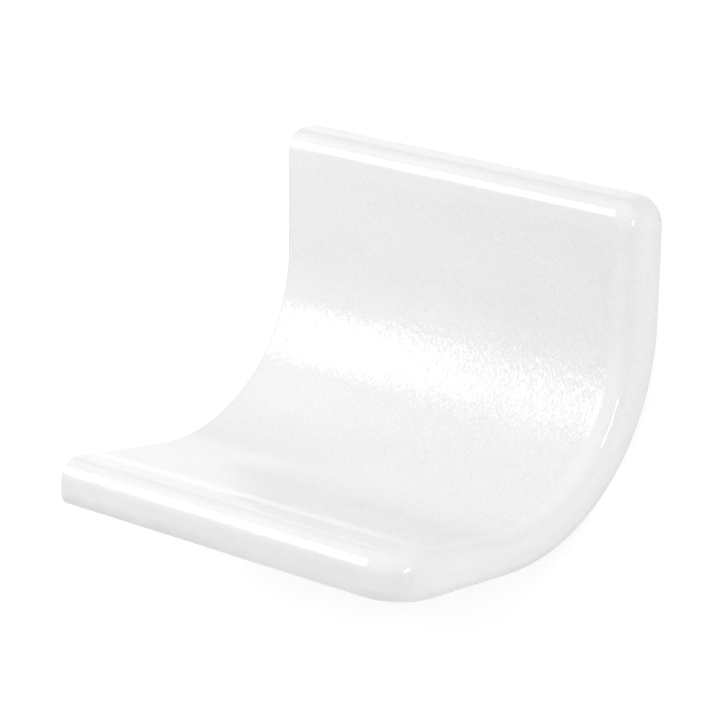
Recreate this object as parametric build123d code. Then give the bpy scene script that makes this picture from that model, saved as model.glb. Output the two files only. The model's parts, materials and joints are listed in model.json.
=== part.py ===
from build123d import *
import os
from math import atan2, cos, degrees, radians, sin

os.makedirs("parts", exist_ok=True)

# Driving sizes, in millimetres and degrees, with the tile standing on its bed: X runs along the stair from
# the cut end to the stop end, Y from the nose to the back of the upright, Z up from the bed.
length = 150.0          # cut end to stop end
depth = 122.5           # nose to the back of the upright
height = 112.0          # bed to the top edge
nose_thickness = 16.4   # foot, at the nose
top_thickness = 18.2    # upright, at the top edge
foot_fall = 4.5         # the foot's glazed face falls from the nose to the cove
upright_lean = 1.7      # the upright's glazed face leans forward to the top edge
cove_radius = 56.0      # glazed cove between foot and upright
back_radius = 70.0      # convex back between the bed and the back of the upright
rolled_edge = 7.0       # glazed side of the nose, the stop end and the top edge
bed_edge = 4.5          # bedding side of the same three edges
nose_corner = 18.0      # rounded corner between nose and stop end
top_corner = 9.5        # rounded corner between stop end and top edge
keys = 4                # keying grooves in each of the two bedding faces
key_width = 4.0
key_depth = 1.2
key_draft = 20.0        # slope of the grooves' sides, for release from the mould
key_stop = 20.0         # the grooves run out of the cut end and stop this far from the stop end


def inner_cove():
    """Where the cove leaves the foot, its middle, and where it meets the upright, as (y, z)."""
    fall, lean = radians(foot_fall), radians(upright_lean)
    # unit normals of the two glazed faces, toward the open side of the tile
    foot_y, foot_z = sin(fall), cos(fall)
    upright_y, upright_z = -cos(lean), -sin(lean)
    # the cove's centre lies one radius off both faces
    off_foot = foot_z * nose_thickness + cove_radius
    off_upright = upright_y * (depth - top_thickness) + upright_z * height + cove_radius
    det = foot_y * upright_z - foot_z * upright_y
    cy = (off_foot * upright_z - foot_z * off_upright) / det
    cz = (foot_y * off_upright - off_foot * upright_y) / det
    mid_y, mid_z = foot_y + upright_y, foot_z + upright_z
    mid = (mid_y**2 + mid_z**2) ** 0.5
    on = [(foot_y, foot_z), (mid_y / mid, mid_z / mid), (upright_y, upright_z)]
    return [(cy - cove_radius * y, cz - cove_radius * z) for y, z in on]


# Section of the tile: a bent plate, square behind, with a cove in front, thicker toward nose and top edge.
foot_end, cove_mid, upright_start = inner_cove()
back_mid = back_radius * sin(radians(45))
with BuildPart() as tile:
    with BuildSketch(Plane.YZ):
        with BuildLine():
            Line((0, 0), (depth - back_radius, 0))
            ThreePointArc(
                (depth - back_radius, 0),
                (depth - back_radius + back_mid, back_radius - back_mid),
                (depth, back_radius),
            )
            Line((depth, back_radius), (depth, height))
            Line((depth, height), (depth - top_thickness, height))
            Line((depth - top_thickness, height), upright_start)
            ThreePointArc(upright_start, cove_mid, foot_end)
            Line(foot_end, (0, nose_thickness))
            Line((0, nose_thickness), (0, 0))
        make_face()
    extrude(amount=length)

    # Stop end: its two corners are rounded, in plan at the nose and in elevation at the top.
    stop = tile.edges().filter_by_position(Axis.X, length - 0.01, length + 0.01)
    fillet(stop.filter_by(Axis.Z).sort_by(Axis.Y)[0], nose_corner)
    stop = tile.edges().filter_by_position(Axis.X, length - 0.01, length + 0.01)
    fillet(stop.filter_by(Axis.Y).sort_by(Axis.Z)[-1], top_corner)

    # Rolled glazed edge: along the nose, round the stop end and back along the top, on the cove side.
    nose = tile.faces().filter_by(Axis.Y).sort_by(Axis.Y)[0]
    fillet(nose.edges().filter_by(Axis.X).sort_by(Axis.Z)[-1], rolled_edge)

    # The same three edges are rounded on the bedding side too, so that each one is nearly a full round.
    nose = tile.faces().filter_by(Axis.Y).sort_by(Axis.Y)[0]
    fillet(nose.edges().filter_by(Axis.X).sort_by(Axis.Z)[0], bed_edge)

    # Keying grooves for the mortar, in the flat of the bed and in the flat of the upright's back.
    run = length - key_stop + key_width
    middle = length - key_stop - run / 2
    bed_flat = depth - back_radius - bed_edge
    with BuildSketch(Plane.XY):
        with Locations((middle, bed_edge + bed_flat / 2)):
            with GridLocations(0, bed_flat / keys, 1, keys):
                Rectangle(run, key_width)
    extrude(amount=key_depth, taper=key_draft, mode=Mode.SUBTRACT)
    back_flat = height - back_radius - bed_edge
    with BuildSketch(Plane((0, depth, 0), x_dir=(1, 0, 0), z_dir=(0, -1, 0))):
        with Locations((middle, back_radius + back_flat / 2)):
            with GridLocations(0, back_flat / keys, 1, keys):
                Rectangle(run, key_width)
    extrude(amount=key_depth, taper=key_draft, mode=Mode.SUBTRACT)

# Unheld, the tile rolls back on its convex back until its centre of mass is under the middle of that curve.
centre = tile.part.center(CenterOf.MASS)
roll = degrees(atan2(centre.Y - (depth - back_radius), back_radius - centre.Z))
body = Rot(-roll, 0, 0) * tile.part
box = body.bounding_box()
body = Pos(-box.center().X, -box.center().Y, -box.min.Z) * body

body.label = "cove_tile"
export_step(body, "parts/cove_tile.step")
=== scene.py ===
import json
import bpy
import numpy as np
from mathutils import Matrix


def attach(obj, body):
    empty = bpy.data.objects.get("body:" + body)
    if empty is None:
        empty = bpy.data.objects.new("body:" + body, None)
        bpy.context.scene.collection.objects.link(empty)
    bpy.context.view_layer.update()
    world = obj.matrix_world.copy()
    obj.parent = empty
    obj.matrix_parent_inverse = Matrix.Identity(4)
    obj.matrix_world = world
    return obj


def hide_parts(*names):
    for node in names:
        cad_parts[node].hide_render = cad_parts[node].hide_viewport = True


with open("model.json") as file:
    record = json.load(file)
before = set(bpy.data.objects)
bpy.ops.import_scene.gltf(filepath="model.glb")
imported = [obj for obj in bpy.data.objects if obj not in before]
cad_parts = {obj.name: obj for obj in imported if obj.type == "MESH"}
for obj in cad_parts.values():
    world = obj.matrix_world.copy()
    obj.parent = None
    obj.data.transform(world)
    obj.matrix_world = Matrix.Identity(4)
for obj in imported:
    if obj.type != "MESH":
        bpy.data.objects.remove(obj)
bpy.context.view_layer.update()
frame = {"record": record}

# The tile: one pressed and fired piece of white ceramic, a foot and an upright joined by a cove, glazed on
# its open side and over the rolled nose, stop end and top edge. Its square joint end and its keyed bedding
# side are bare fired body. It is set in mortar, and lies here unheld on its convex back.
length, depth, height = 0.150, 0.1225, 0.112
nose_thickness, top_thickness = 0.0164, 0.0182
foot_fall, upright_lean = np.radians(4.5), np.radians(1.7)
cove_radius, back_radius = 0.056, 0.070
rolled_edge, bed_edge = 0.007, 0.0045
nose_corner, top_corner = 0.018, 0.0095
keys, key_width, key_depth, key_draft, key_stop = 4, 0.004, 0.0012, np.radians(20), 0.020
square_nose, square_top = 0.025, 0.016      # ends of the plate where its two sides are matched squarely
nose_steps, foot_steps, cove_steps, upright_steps, top_steps = 25, 14, 90, 24, 16
quarter = np.pi / 2


def straight(start, end, count):
    """Points on a straight run from start to end, with the last one left to the next run."""
    return np.asarray(start) + np.linspace(0, 1, count, endpoint=False)[:, None] * np.subtract(end, start)


def turn(centre, radius, first, last, count):
    """Points on an arc round centre from angle first to angle last, the last one left to the next run."""
    angle = np.linspace(first, last, count, endpoint=False)
    return np.asarray(centre) + radius * np.stack([np.cos(angle), np.sin(angle)], 1)


def section_lines():
    """Matching points (y, z) of the glazed line and the bedding line from nose to top, and the way along.

    Each line is a straight foot, an arc and a straight upright. The cove's centre is one radius off both
    glazed faces."""
    foot = np.array([np.sin(foot_fall), np.cos(foot_fall)])
    upright = -np.array([np.cos(upright_lean), np.sin(upright_lean)])
    centre = np.linalg.solve([foot, upright], [foot[1] * nose_thickness + cove_radius,
                                               upright @ [depth - top_thickness, height] + cove_radius])
    leave, meet = centre - cove_radius * foot, centre - cove_radius * upright
    nose, top = (0, nose_thickness), (depth - top_thickness, height)
    near_nose = (square_nose, nose_thickness - square_nose * np.tan(foot_fall))
    near_top = (top[0] + square_top * np.tan(upright_lean), height - square_top)
    glazed = [straight(nose, near_nose, nose_steps), straight(near_nose, leave, foot_steps),
              turn(centre, cove_radius, -quarter - foot_fall, upright_lean, cove_steps),
              straight(meet, near_top, upright_steps), straight(near_top, top, top_steps), [top]]
    bedded = [straight((0, 0), (square_nose, 0), nose_steps),
              straight((square_nose, 0), (depth - back_radius, 0), foot_steps),
              turn((depth - back_radius, back_radius), back_radius, -quarter, 0, cove_steps),
              straight((depth, back_radius), (depth, height - square_top), upright_steps),
              straight((depth, height - square_top), (depth, height), top_steps), [(depth, height)]]
    glazed, bedded = np.concatenate(glazed), np.concatenate(bedded)
    step = np.hypot(*np.diff(glazed, axis=0).T)
    step[:nose_steps] = np.diff(glazed[:nose_steps + 1, 0])
    step[-top_steps:] = np.diff(glazed[-top_steps - 1:, 1])
    return glazed, bedded, np.concatenate([[0], np.cumsum(step)])


glazed_line, bedded_line, way_along = section_lines()
way = way_along[-1]


def across(s):
    """Points of the glazed line and of the bedding line at the distance s from the nose."""
    return [np.stack([np.interp(s, way_along, line[:, c]) for c in (0, 1)], -1)
            for line in (glazed_line, bedded_line)]


def in_plate(s, x, n):
    """Point at the distance s from the nose, x from the joint end and n under the glazed face."""
    top, under = across(s)
    share = n / np.linalg.norm(under - top, axis=-1)
    return np.concatenate([x[..., None], top + (under - top) * share[..., None]], -1)


def plate(s):
    """Thickness of the plate at the distance s from the nose."""
    top, under = across(s)
    return np.linalg.norm(under - top, axis=-1)


def smooth(low, high, value):
    """0 below low, 1 above high, and a cubic ease between them."""
    t = np.clip((value - low) / (high - low), 0, 1)
    return t * t * (3 - 2 * t)


def key_flats():
    """The bed's flat and the back's flat: where each begins, how long it is, and the coordinate along it."""
    return ((bed_edge, depth - back_radius - bed_edge, 0), (back_radius, height - back_radius - bed_edge, 1))


def key_lines():
    """Distances from the nose at which a groove's lip or floor begins or ends."""
    reach = np.array([-1, 1])[:, None] * [key_width / 2, key_width / 2 - key_depth * np.tan(key_draft)]
    places = [first + flat * (np.arange(keys) + 0.5)[:, None] / keys + reach.ravel()
              for first, flat, axis in key_flats()]
    bend, bend_end = nose_steps + foot_steps + 1, nose_steps + foot_steps + cove_steps + 1
    on_bed = np.interp(places[0].ravel(), bedded_line[:bend_end, 0], way_along[:bend_end])
    on_back = np.interp(places[1].ravel(), bedded_line[bend:, 1], way_along[bend:])
    return np.concatenate([on_bed, on_back])


def key_grooves(s, x):
    """Depth of the keying grooves: flat-bottomed with sloping sides, from the joint end to the key stop."""
    under = across(s)[1]
    cut = np.zeros_like(s)
    for first, flat, axis in key_flats():
        place, pitch = under[..., axis] - first, flat / keys
        side = key_width / 2 - np.abs(place % pitch - pitch / 2)
        ramp = np.minimum(side, length - key_stop - x) / np.tan(key_draft)
        on_flat = (place > 0) & (place < flat) & (under[..., 1 - axis] == (0, depth)[axis])
        cut = np.where(on_flat, np.clip(ramp, 0, key_depth), cut)
    return cut


def stations(low, high, count, extra):
    """Even steps from low to high and the extra values between them, less the steps too near an extra one."""
    end_margin, too_near = 1e-5, 0.2 * (high - low) / count
    extra = extra[(extra > low + end_margin) & (extra < high - end_margin)]
    even = np.linspace(low, high, count)
    if len(extra):
        clear = np.abs(even[:, None] - extra).min(1) > too_near
        clear[[0, -1]] = True
        even = np.sort(np.concatenate([even[clear], extra]))
    return even


# Plan outline of the unrolled plate: along the nose, round the stop end and back along the top, as distance
# from the nose, distance from the joint end, and the direction inward. Its stations meet the groove lines.
corner_steps, end_steps, groove_steps, rim_steps = 25, 171, 62, 8
lips = key_lines()
lip_in_nose = np.clip((nose_corner - lips) / (nose_corner - bed_edge), -1, 1)
lip_in_top = np.clip((lips - way + top_corner) / (top_corner - bed_edge), -1, 1)
nose_bend = stations(0, quarter, corner_steps, np.arccos(lip_in_nose))
top_bend = stations(0, quarter, corner_steps, np.arcsin(lip_in_top))
groove_end, past_groove = length - key_stop, 0.001
even_x = np.concatenate([np.linspace(0, groove_end - key_depth * np.tan(key_draft), groove_steps),
                         [groove_end, groove_end + past_groove]])
to_rim = np.linspace(0, 1, rim_steps + 1)[1:]
nose_x = np.concatenate([even_x, even_x[-1] + to_rim * (length - nose_corner - even_x[-1])])
top_x = np.concatenate([even_x, even_x[-1] + to_rim * (length - top_corner - even_x[-1])])
end_s = stations(nose_corner, way - top_corner, end_steps, lips)[1:-1]
run, ends = len(nose_x) - 1, len(end_s)
outline_s = np.concatenate([np.zeros(run), nose_corner * (1 - np.cos(nose_bend)), end_s,
                            way - top_corner * (1 - np.sin(top_bend)), np.full(run, way)])
outline_x = np.concatenate([nose_x[:-1], length - nose_corner * (1 - np.sin(nose_bend)),
                            np.full(ends, length), length - top_corner * (1 - np.cos(top_bend)),
                            top_x[-2::-1]])
inward_s = np.concatenate([np.ones(run), np.cos(nose_bend), np.zeros(ends),
                           -np.sin(top_bend), -np.ones(run)])
inward_x = np.concatenate([np.zeros(run), -np.sin(nose_bend), -np.ones(ends),
                           -np.cos(top_bend), np.zeros(run)])
rows = slice(run, len(outline_s) - run)
slow_swell, quick_swell = 0.000012, 0.000011


def wave(s, x, over_x, over_s, start):
    """One wave over the plate: the sine of x over its wavelength plus s over its wavelength, from start."""
    return np.sin(2 * np.pi * (x / over_x + s / over_s) + start)


def crawl(s, x):
    """Slow unevenness of the fired glaze: crossing waves, always a little under the true face."""
    slow = wave(s, x, 0.031, 0.052, 0) + wave(s, x, 0.043, -0.037, 1.3)
    quick = wave(s, x, 0.0137, 0.061, 0.4) + wave(s, x, 0.0093, -0.047, 2.1)
    return slow_swell * (2 + slow) + quick_swell * (2 + quick)


face_sink, crease_from, crease_drift, crease_width = 0.00020, 0.0098, 0.0036, 0.0062
end_land, foot_land, end_slope, foot_slope = 0.0080, 0.0040, 0.0028, 0.0100
top_land, top_slope = 0.008, 0.016


def dish(s, x):
    """Sink of the pressed face behind the raised nose: a fixed depth, eased in over the crease's width, and
    eased out again up to the flat lands at the top and the stop end, which are wider on the foot."""
    line = crease_from + crease_drift * x / length
    on_foot = smooth(0.060, 0.030, s)
    last = length - end_land - foot_land * on_foot
    return face_sink * (smooth(line, line + crease_width, s)
                        * smooth(way - top_land, way - top_land - top_slope, s)
                        * smooth(last, last - end_slope - foot_slope * on_foot, x))


roll_points, wall_points = 17, 4      # across a rolled edge or a bed's round, and on the wall between them
above_bed = roll_points + wall_points


def rim():
    """Edge of the plate: at each place of the outline the rolled edge, an arc tangent to the wall and to the
    falling face, a straight stretch, and a quarter round at the bed, as inset and depth under the face."""
    share = np.linspace(0, 1, roll_points)
    flat = np.linspace(0, 1, wall_points + 2)[1:-1]
    fall = np.where(outline_s < way / 2, np.tan(foot_fall), np.tan(upright_lean))
    fall = (fall * np.abs(inward_s))[:, None]
    angle = (quarter + np.arctan(fall)) * (1 - share)
    roll_in = rolled_edge * (1 - np.cos(angle))
    roll_n = rolled_edge * (np.hypot(1, fall) + fall - np.sin(angle)) - fall * roll_in
    bed_angle = quarter * share
    inset = np.concatenate([roll_in, np.zeros((len(fall), wall_points)),
                            np.tile(bed_edge * (1 - np.cos(bed_angle)), (len(fall), 1))], 1)
    s = outline_s[:, None] + inset * inward_s[:, None]
    x = outline_x[:, None] + inset * inward_x[:, None]
    whole = plate(s)
    wall = whole[:, roll_points - 1:roll_points] - bed_edge - roll_n[:, -1:]
    n = np.concatenate([roll_n, roll_n[:, -1:] + wall * flat,
                        whole[:, -roll_points:] - bed_edge * (1 - np.sin(bed_angle))], 1)
    under = crawl(s, x) * np.concatenate([np.ones(above_bed), smooth(1, 0.2, share)])
    facing = np.concatenate([np.cos(quarter * share), np.zeros(above_bed)])
    inset = under * np.sqrt(1 - facing ** 2)
    return s + inset * inward_s[:, None], x + inset * inward_x[:, None], n + under * facing


def sheet(s, x):
    """Rows from the joint end to the rim's edge at s, x: even steps first, then a share of what is left."""
    s, reach = s[rows, None], x[rows, None]
    x = np.concatenate([np.broadcast_to(even_x, (len(s), len(even_x))),
                        even_x[-1] + (reach - even_x[-1]) * to_rim], 1)
    return np.broadcast_to(s, x.shape), x


edge_s, edge_x, edge_n = rim()
face_s, face_x = sheet(edge_s[:, 0], edge_x[:, 0])
back_s, back_x = sheet(edge_s[:, -1], edge_x[:, -1])
face_n = crawl(face_s, face_x) + dish(face_s, face_x)
back_n = plate(back_s) - key_grooves(back_s, back_x)
rim_points = in_plate(edge_s, edge_x, edge_n)
face_points = in_plate(face_s, face_x, face_n)
back_points = in_plate(back_s, back_x, back_n)
through_plate = np.linspace(0, 1, 6)
lip = np.concatenate([rim_points[0, roll_points - 1:0:-1], face_points[:, 0], rim_points[-1, 1:roll_points]])
heel = np.concatenate([rim_points[0, -roll_points:-1], back_points[:, 0],
                       rim_points[-1, -2:-roll_points - 1:-1]])
end_points = lip[:, None] + (heel - lip)[:, None] * through_plate[:, None]


def quads(shape, first, turned):
    """Four corners of every cell of a grid whose points are numbered from first, turned over where asked."""
    at = first + np.arange(shape[0] * shape[1]).reshape(shape[:2])
    cells = np.stack([at[:-1, :-1], at[1:, :-1], at[1:, 1:], at[:-1, 1:]], -1).reshape(-1, 4)
    return cells[:, ::-1] if turned else cells


grain_from, grain_drift = 0.0176, 0.0030
joint_grain, more_at_stop_end, foot_grain, more_up_the_upright = 0.45, 0.65, 0.85, 0.55


def face_mark(s, x):
    """How strong the die's fine grain is: faded out at the crease and on to the rolls of the stop end and the
    top, and between them stronger towards the stop end and up the upright."""
    line = grain_from + grain_drift * x / length
    deeper = ((joint_grain + more_at_stop_end * smooth(0.015, 0.110, x))
              * (foot_grain + more_up_the_upright * smooth(0.050, 0.100, s)))
    return deeper * (smooth(line - 0.0012, line + 0.0024, s) * smooth(way - 0.0072, way - 0.0120, s)
                     * smooth(length - 0.0058, length - 0.0084, x))


# For each grid: its points, whether it is turned over, where it is glazed, how strong the grain is, its place
# on the plate and its share of the way from the glazed face to the bed.
wet = np.concatenate([np.ones(above_bed), smooth(16, 5, np.arange(roll_points))])
on_nose = (outline_s < 0.004)[:, None]
nose_wall = smooth(0.0034, 0.0056, edge_n) * on_nose * smooth(0.140, 0.128, edge_x)
nose_grain, end_thickness = 0.5, 0.015
unmarked = np.zeros(end_points.shape[:2])
lip_s = np.concatenate([edge_s[0, roll_points - 1:0:-1], face_s[:, 0], edge_s[-1, 1:roll_points]])
grids = [(rim_points, True, np.broadcast_to(wet, edge_s.shape),
          face_mark(edge_s, edge_x) + nose_grain * nose_wall, np.stack([edge_x, edge_s, edge_n], -1),
          edge_n / plate(edge_s)),
         (face_points, True, np.ones_like(face_x), face_mark(face_s, face_x),
          np.stack([face_x, face_s, 0 * face_s], -1), 0 * face_s),
         (back_points, False, np.zeros_like(back_x), np.zeros_like(back_x),
          np.stack([back_x, back_s, back_n], -1), 1 + 0 * back_s),
         (end_points, False, unmarked, unmarked,
          np.stack([unmarked, lip_s[:, None] + unmarked, end_thickness * through_plate + unmarked], -1),
          through_plate + unmarked)]
starts = np.cumsum([0] + [g[0].shape[0] * g[0].shape[1] for g in grids])
points = np.concatenate([g[0].reshape(-1, 3) for g in grids])
cells = np.concatenate([quads(g[0].shape, at, g[1]) for g, at in zip(grids, starts)])
same_place = 1e-7
_, first_of, number = np.unique(np.round(points / same_place).astype(np.int64), axis=0,
                                return_index=True, return_inverse=True)
number = number.reshape(-1)

bed_mount = next(m for m in frame["record"]["mounts"] if m["name"] == "bed_face")
tip = np.arctan2(-bed_mount["axis"][1], -bed_mount["axis"][2])
lay = np.array([[1, 0, 0], [0, np.cos(tip), np.sin(tip)], [0, -np.sin(tip), np.cos(tip)]])
bed_middle = np.array([length / 2, (bed_edge + depth - back_radius) / 2, 0])
shift = np.array(bed_mount["pos_m"]) - lay @ bed_middle


def laid(standing):
    """A point of the upright-standing tile, where it is with the tile rolled over onto its convex back."""
    return np.asarray(standing) @ lay.T + shift


sharp_arris = np.radians(38)
mesh = bpy.data.meshes.new("cove_tile_fired")
mesh.from_pydata(laid(points[first_of]), [], number[cells])
for name, column in (("wet", 2), ("grained", 3), ("sunk", 5)):
    values = np.concatenate([np.ravel(g[column]) for g in grids])[cells].ravel()
    mesh.attributes.new(name, "FLOAT", "CORNER").data.foreach_set("value", values.astype(np.float32))
along = np.concatenate([g[4].reshape(-1, 3) for g in grids])[cells].ravel()
mesh.attributes.new("along", "FLOAT_VECTOR", "CORNER").data.foreach_set("vector", along.astype(np.float32))
mesh.polygons.foreach_set("use_smooth", np.ones(len(cells), bool))
mesh.set_sharp_from_angle(angle=sharp_arris)
tile = bpy.data.objects.new("cove_tile_fired", mesh)
bpy.context.collection.objects.link(tile)


class Shade:
    """A value in a material's nodes: sums, differences and products of it add Math nodes."""

    def __init__(self, tree, socket=None):
        self.tree, self.socket = tree, socket

    def node(self, kind, settings, sockets, out=0):
        """Any node: its type, its settings, which are set first, then numbers or links for its sockets."""
        made = self.tree.nodes.new("ShaderNode" + kind)
        for name, setting in settings.items():
            setattr(made, name, setting)
        for name, given in sockets.items():
            if isinstance(given, Shade):
                self.tree.links.new(given.socket, made.inputs[name])
            else:
                made.inputs[name].default_value = given
        return Shade(self.tree, made.outputs[out] if made.outputs else None)

    def reckon(self, operation, first, second):
        """One Math node on two values."""
        return self.node("Math", {"operation": operation}, {0: first, 1: second})

    def __add__(self, other): return self.reckon("ADD", self, other)
    def __radd__(self, other): return self.reckon("ADD", other, self)
    def __sub__(self, other): return self.reckon("SUBTRACT", self, other)
    def __rsub__(self, other): return self.reckon("SUBTRACT", other, self)
    def __mul__(self, other): return self.reckon("MULTIPLY", self, other)
    def __rmul__(self, other): return self.reckon("MULTIPLY", other, self)

    def tint(self, first, second):
        """Colour from first to second as the value goes from 0 to 1."""
        return self.node("Mix", {"data_type": "RGBA"}, {0: self, 6: first, 7: second}, 2)

    def ease(self, low, high, to_low=0.0, to_high=1.0):
        """The value carried smoothly from the range low..high to the range to_low..to_high."""
        return self.node("MapRange", {"interpolation_type": "SMOOTHSTEP"},
                         {0: self, 1: low, 2: high, 3: to_low, 4: to_high})


def material(name):
    """A new material with an empty node tree and its output."""
    made = bpy.data.materials.new(name)
    made.use_nodes = True
    made.node_tree.nodes.clear()
    return made, Shade(made.node_tree)


fired, new = material("white_glaze_over_fired_body")
spot = new.node("TexCoord", {}, {}, 3)
is_wet = new.node("Attribute", {"attribute_name": "wet"}, {}, 2)
is_grained = new.node("Attribute", {"attribute_name": "grained"}, {}, 2)


def noise(scale, detail=2.0, roughness=0.5):
    """Even noise through the tile, with scale patches to the metre."""
    return new.node("TexNoise", {}, {"Vector": spot, "Scale": scale, "Detail": detail,
                                     "Roughness": roughness})


on_plate = new.node("Attribute", {"attribute_name": "along"}, {}, 1)


def strokes(wide, long, detail=1.5):
    """Noise drawn out along the pressing direction: wide across the tile, long from nose to top."""
    to_strokes = (1 / wide, 1 / long, 1 / wide)
    place = new.node("VectorMath", {"operation": "MULTIPLY"}, {0: on_plate, 1: to_strokes})
    return new.node("TexNoise", {}, {"Vector": place, "Scale": 1.0, "Detail": detail, "Roughness": 0.55})


off_joint = new.node("SeparateXYZ", {}, {0: on_plate}, 0)
off_nose = new.node("SeparateXYZ", {}, {0: on_plate}, 1)
long_share = off_nose.ease(0.035, 0.075, 0.25, 1.0)
cloud = noise(45.0, 3.0)
edge_wander = noise(260.0, 2.0)
bristle = strokes(0.0007, 0.0022) * long_share + strokes(0.0006, 0.0013) * (1 - long_share)
sunk = new.node("Attribute", {"attribute_name": "sunk"}, {}, 2)
is_face = sunk.ease(0.04, 0.0)
arris, arris_glaze = off_joint.ease(0.00025, 0.00075), 0.35
glazed = (is_wet + (edge_wander - 0.5) * 0.5).ease(0.42, 0.58) * (arris_glaze + (1 - arris_glaze) * arris)
# Painted shade: the glaze colour is greyed towards the bed on the nose wall and the ends, where less light
# comes from below. It is strongest near the joint end and rises again at the stop end.
wall_shade_along = off_joint.ease(0.03, 0.11, 1.0, 0.15) + off_joint.ease(0.147, 0.1495, 0.0, 0.5)
painted_wall_shade = (sunk + (noise(110.0, 3.0) - 0.5) * 0.5).ease(0.55, 1.05) * wall_shade_along
shade = cloud * 0.25 + bristle * 0.35 + noise(1200.0, 1.0) * 0.4
grey_glaze, white_glaze = (0.808, 0.810, 0.824, 1), (0.852, 0.853, 0.864, 1)
# Of the two colours below, the first is painted shade for the lower walls and the second a painted reflection
# for the crease behind the nose.
wall_shade_glaze, crease_reflection_glaze = (0.720, 0.717, 0.698, 1), (0.925, 0.926, 0.934, 1)
glaze_colour = painted_wall_shade.tint(shade.ease(0.36, 0.64).tint(grey_glaze, white_glaze), wall_shade_glaze)
grain = cloud * 0.4 + noise(1400.0, 3.0, 0.6) * 0.6
dark_clay, pale_clay = (0.730, 0.703, 0.645, 1), (0.795, 0.773, 0.722, 1)
speck_colour, pit_colour = (0.58, 0.53, 0.45, 1), (0.12, 0.11, 0.10, 1)
speck = noise(800.0, 1.0).ease(0.66, 0.72) * 0.6
body_colour = speck.tint(grain.ease(0.35, 0.65).tint(dark_clay, pale_clay), speck_colour)


def pinhole(place, radius, dark):
    """A pit where the glaze drew back from the body, dark in its middle, at a place x, s, n of the plate."""
    gap = new.node("VectorMath", {"operation": "DISTANCE"}, {0: on_plate, 1: place}, "Value")
    return gap.ease(radius, 0.3 * radius) * dark


pitted = (pinhole((0.0958, 0.1619, 0), radius=0.0006, dark=0.16)
          + pinhole((0.1112, 0.1361, 0), radius=0.0009, dark=0.13)
          + pinhole((0.0633, 0.1301, 0), radius=0.0008, dark=0.10)
          + pinhole((0.1496, 0.1739, 0.0139), radius=0.0007, dark=0.15))
glaze_colour = pitted.tint(glaze_colour, pit_colour)
# Painted reflection: a whiter band in the glaze's colour along the crease behind the nose. It stands in for
# the crease reflecting the white room.
reflection_from, reflection_drift, reflection_strength = 0.0136, 0.024, 0.9
behind = off_nose - (reflection_from + off_joint * reflection_drift)
painted_crease_reflection = behind.ease(-0.0008, 0.0008) * behind.ease(0.0085, 0.0020) * off_joint.ease(0.139, 0.112)
painted_crease_reflection = painted_crease_reflection * is_face
colour = glazed.tint(body_colour, (painted_crease_reflection * reflection_strength).tint(glaze_colour, crease_reflection_glaze))
bare_roughness, gloss_roughness, grain_roughness = 0.8, 0.05, 0.06
roughness = (1 - glazed) * bare_roughness + glazed * (gloss_roughness + is_grained * grain_roughness)
grain_depth, peel_depth, grit_depth = 0.00027, 0.000030, 0.00012
grit = noise(2600.0, 3.0, 0.7)
peel = noise(330.0, 2.0) * peel_depth
height_field = glazed * (is_grained * bristle * grain_depth + peel) + (1 - glazed) * grit * grit_depth
relief = new.node("Bump", {}, {"Strength": 1.0, "Distance": 1.0, "Height": height_field})
glaze_ior = 1.52
surface = new.node("BsdfPrincipled", {}, {"Base Color": colour, "Roughness": roughness, "IOR": glaze_ior,
                                          "Normal": relief})
new.node("OutputMaterial", {}, {"Surface": surface})
mesh.materials.append(fired)
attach(tile, "root")
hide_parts("cove_tile")

# The floor: a plain white studio sweep under the tile. It is white to the eye and in the glaze's reflections,
# and keeps the soft shadow that the tile throws on it.
floor_spokes, floor_rings = 48, np.array([0.0004, 0.5, 6.0])
ring, spoke = np.meshgrid(np.linspace(0, 2 * np.pi, floor_spokes + 1)[:-1], floor_rings, indexing="ij")
floor_points = np.stack([spoke * np.cos(ring), spoke * np.sin(ring), 0 * ring], -1)
at = np.arange(ring.size).reshape(ring.shape)
round_at = np.roll(at, -1, 0)
floor_cells = np.stack([at[:, :-1], at[:, 1:], round_at[:, 1:], round_at[:, :-1]], -1).reshape(-1, 4)
floor_mesh = bpy.data.meshes.new("sweep")
floor_mesh.from_pydata(floor_points.reshape(-1, 3), [], [list(c) for c in floor_cells] + [list(at[:, 0])])
floor = bpy.data.objects.new("sweep", floor_mesh)
bpy.context.collection.objects.link(floor)
sweep, new = material("white_sweep")
seen = new.node("LightPath", {}, {}, 0)
mirrored = new.node("LightPath", {}, {}, "Is Glossy Ray")
through = new.node("LightPath", {}, {}, "Is Transmission Ray")
floor_white, shadow_share, own_white = (0.86, 0.86, 0.86, 1), (0.30, 0.30, 0.30, 1), 0.80
matt = new.node("BsdfDiffuse", {}, {"Color": floor_white})
shadow = new.node("BsdfDiffuse", {}, {"Color": shadow_share})
white = new.node("Emission", {}, {"Color": (1, 1, 1, 1), "Strength": own_white})
shown = new.node("AddShader", {}, {0: shadow, 1: white})
both = new.node("MixShader", {}, {0: seen + mirrored + through, 1: matt, 2: shown})
new.node("OutputMaterial", {}, {"Surface": both})
floor_mesh.materials.append(sweep)

# The camera stands in front and to the right of the upright tile, a little above it, with a long lens.
# The tile lies rolled back on its convex side, so the camera is rolled with it.
frame_px, focal_px = 726, 3942.656
view_azimuth, view_elevation, view_roll = np.radians([42.101, 14.844, -1.762])
aim_px, camera_distance, sensor_width = np.array([360.785, 353.683]), 1.273368, 36.0


def heading(azimuth, elevation):
    """Unit direction off the upright tile: azimuth from straight in front towards the stop end, then up."""
    level = np.cos(elevation)
    return np.array([np.sin(azimuth) * level, -np.cos(azimuth) * level, np.sin(elevation)])


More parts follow.
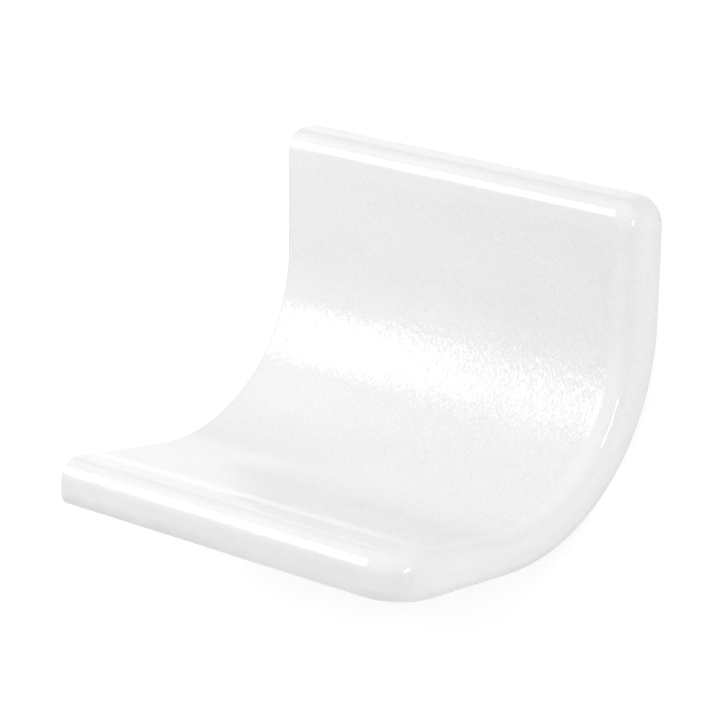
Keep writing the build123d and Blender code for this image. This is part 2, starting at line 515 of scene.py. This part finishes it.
away = heading(view_azimuth, view_elevation)
side = heading(view_azimuth + quarter, 0)
down = np.cross(-away, side)
right = np.cos(view_roll) * side + np.sin(view_roll) * down
below = np.cos(view_roll) * down - np.sin(view_roll) * side
aim = (aim_px - frame_px / 2) / focal_px
middle = np.array([length, depth, height]) / 2
eye = middle - camera_distance * (aim[0] * right + aim[1] * below - away)
lens = bpy.data.cameras.new("camera")
lens.sensor_fit, lens.sensor_width = "HORIZONTAL", sensor_width
lens.lens = sensor_width * focal_px / frame_px
lens.clip_start, lens.clip_end = 0.05, 50.0
camera = bpy.data.objects.new("camera", lens)
pose = np.eye(4)
pose[:3, :3] = lay @ np.stack([right, -below, away], 1)
pose[:3, 3] = laid(eye)
camera.matrix_world = pose.T
bpy.context.collection.objects.link(camera)
bpy.context.scene.camera = camera


# The studio's light: a softbox to the left of the camera with a dimmer one above it, a narrow strip on the
# right, and a soft white room that is brighter on the right.
def softbox(name, low, high, far, near, distance, radiance):
    """A rectangle of even light between two angles round the tile's long axis, low and high from straight in
    front upwards, and between two angles off the stop end's direction, far and near, facing the middle."""
    about, lean = np.radians((low + high) / 2), np.radians((far + near) / 2)
    back = np.array([np.cos(lean), -np.sin(lean) * np.cos(about), np.sin(lean) * np.sin(about)])
    rise = np.array([0, np.sin(about), np.cos(about)])
    lamp = bpy.data.lights.new(name, "AREA")
    lamp.shape = "RECTANGLE"
    lamp.size = 2 * distance * np.tan(np.radians(far - near) / 2)
    lamp.size_y = 2 * distance * np.tan(np.radians(high - low) / 2 * np.sin(lean))
    lamp.energy = radiance * np.pi * lamp.size * lamp.size_y
    holder = bpy.data.objects.new(name, lamp)
    place = np.eye(4)
    place[:3, :3] = lay @ np.stack([np.cross(rise, back), rise, back], 1)
    place[:3, 3] = laid(middle + distance * back)
    holder.matrix_world = place.T
    bpy.context.collection.objects.link(holder)


softbox("main_softbox", low=17, high=50, far=139, near=111, distance=1.0, radiance=5.9)
softbox("upper_softbox", low=50, high=86, far=136, near=116, distance=1.0, radiance=0.4)
softbox("side_strip", low=25, high=61, far=36, near=29, distance=1.0, radiance=9.0)
room_level, room_to_right, room_upward = 0.63, 0.32, 0.16
world = bpy.data.worlds.new("white_room")
bpy.context.scene.world = world
world.use_nodes = True
world.node_tree.nodes.clear()
new = Shade(world.node_tree)
sky = new.node("TexCoord", {}, {}, 0)
to_right = new.node("SeparateXYZ", {}, {0: sky}, 0)
upward = new.node("VectorMath", {"operation": "DOT_PRODUCT"}, {0: sky, 1: lay @ [0, 0, 1]}, "Value")
room_light = room_level + room_to_right * to_right + room_upward * upward
room = new.node("Background", {}, {"Color": (1, 1, 1, 1), "Strength": room_light})
new.node("OutputWorld", {}, {"Surface": room})
bpy.context.scene.view_settings.view_transform = "Standard"
